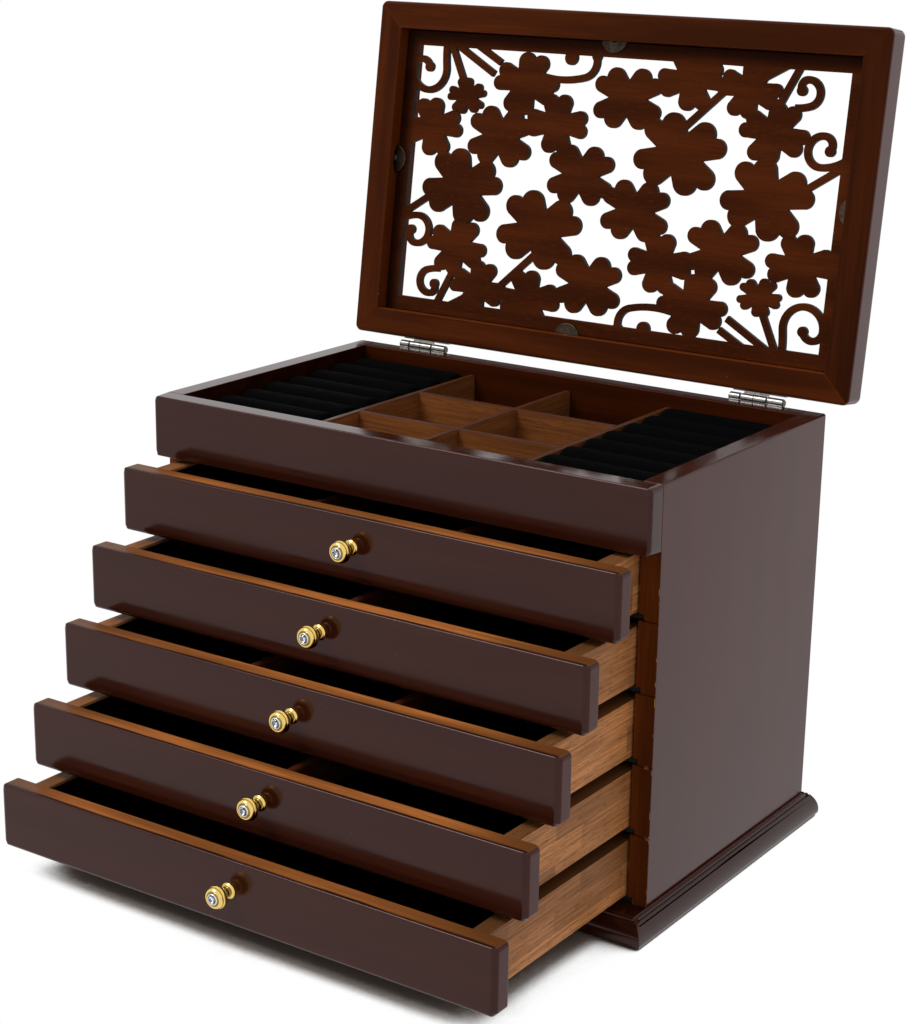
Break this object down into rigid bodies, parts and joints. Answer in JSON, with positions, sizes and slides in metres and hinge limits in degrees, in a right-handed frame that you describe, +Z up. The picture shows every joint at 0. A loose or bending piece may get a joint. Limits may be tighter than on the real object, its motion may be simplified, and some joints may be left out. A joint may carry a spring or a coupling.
{
  "type": "jewelry organizer",
  "caption": "Table-top jewelry box in dark lacquered wood with sliding drawers, a sectioned velvet tray with ring rolls and a hinged lid framing a pierced clover panel.",
  "frame": {"origin": "centre of the underside of the base, on the table", "axes": "+Z up, +X to the right seen from the front, the front with the drawers faces -Y"},
  "size_m": [0.3216, 0.3683, 0.4237],
  "materials": {
    "lacquered_wood": "dark espresso lacquer, semi-gloss",
    "fretwork_wood": "dark red-brown stain, satin",
    "drawer_wood": "bare light brown wood",
    "divider_wood": "thin mid-brown wood, satin",
    "black_panel": "black faced panel",
    "velvet": "black velvet",
    "felt": "black felt",
    "brass": "polished",
    "crystal": "faceted, clear",
    "nickel": "bright nickel plate",
    "bronze": "dark bronzed"
  },
  "bodies": {
    "case": {"base_felt": "felt", "base_board": "lacquered_wood", "case_side_left": "lacquered_wood", "case_side_right": "lacquered_wood", "case_back": "lacquered_wood", "front_rail": "lacquered_wood", "tray_floor": "black_panel", "tray_lining": "velvet", "tray_partition_left": "divider_wood", "tray_partition_middle": "divider_wood", "tray_partition_right": "divider_wood", "tray_divider_front": "divider_wood", "tray_divider_rear": "divider_wood", "ring_rolls_left": "velvet", "ring_rolls_right": "velvet", "dust_boards": "black_panel", "hinge_case_leaves": "nickel", "hinge_pins": "nickel"},
    "lid": {"hinge_lid_leaves": "nickel", "lid_rail_front": "lacquered_wood", "lid_rail_back": "lacquered_wood", "lid_stile_left": "lacquered_wood", "lid_stile_right": "lacquered_wood", "lid_fretwork": "fretwork_wood", "lid_retainers": "bronze", "lid_retainer_screws": "bronze"},
    "drawer_1": {"drawer_1_front": "lacquered_wood", "drawer_1_walls": "drawer_wood", "drawer_1_bottom": "black_panel", "drawer_1_lining": "velvet", "drawer_1_knob": "brass", "drawer_1_gem": "crystal", "drawer_1_dividers": "divider_wood"},
    "drawer_2": {"drawer_2_front": "lacquered_wood", "drawer_2_walls": "drawer_wood", "drawer_2_bottom": "black_panel", "drawer_2_lining": "velvet", "drawer_2_knob": "brass", "drawer_2_gem": "crystal", "drawer_2_dividers": "divider_wood"},
    "drawer_3": {"drawer_3_front": "lacquered_wood", "drawer_3_walls": "drawer_wood", "drawer_3_bottom": "black_panel", "drawer_3_lining": "velvet", "drawer_3_knob": "brass", "drawer_3_gem": "crystal", "drawer_3_dividers": "divider_wood"},
    "drawer_4": {"drawer_4_front": "lacquered_wood", "drawer_4_walls": "drawer_wood", "drawer_4_bottom": "black_panel", "drawer_4_lining": "velvet", "drawer_4_knob": "brass", "drawer_4_gem": "crystal", "drawer_4_dividers": "divider_wood"},
    "drawer_5": {"drawer_5_front": "lacquered_wood", "drawer_5_walls": "drawer_wood", "drawer_5_bottom": "black_panel", "drawer_5_lining": "velvet", "drawer_5_knob": "brass", "drawer_5_gem": "crystal"}
  },
  "joints": [
    {"name": "lid_hinge", "type": "hinge", "parent": "case", "child": "lid", "pos_m": [0, 0.0956, 0.2286], "axis": [1, 0, 0], "range_deg": [0, 97.8]},
    {"name": "drawer_1_slide", "type": "slide", "parent": "case", "child": "drawer_1", "axis": [0, -1, 0], "range_m": [-0.02626, 0.10374]},
    {"name": "drawer_2_slide", "type": "slide", "parent": "case", "child": "drawer_2", "axis": [0, -1, 0], "range_m": [-0.05187, 0.07813]},
    {"name": "drawer_3_slide", "type": "slide", "parent": "case", "child": "drawer_3", "axis": [0, -1, 0], "range_m": [-0.07371, 0.05629]},
    {"name": "drawer_4_slide", "type": "slide", "parent": "case", "child": "drawer_4", "axis": [0, -1, 0], "range_m": [-0.09841, 0.03159]},
    {"name": "drawer_5_slide", "type": "slide", "parent": "case", "child": "drawer_5", "axis": [0, -1, 0], "range_m": [-0.12194, 0.00806]}
  ]
}
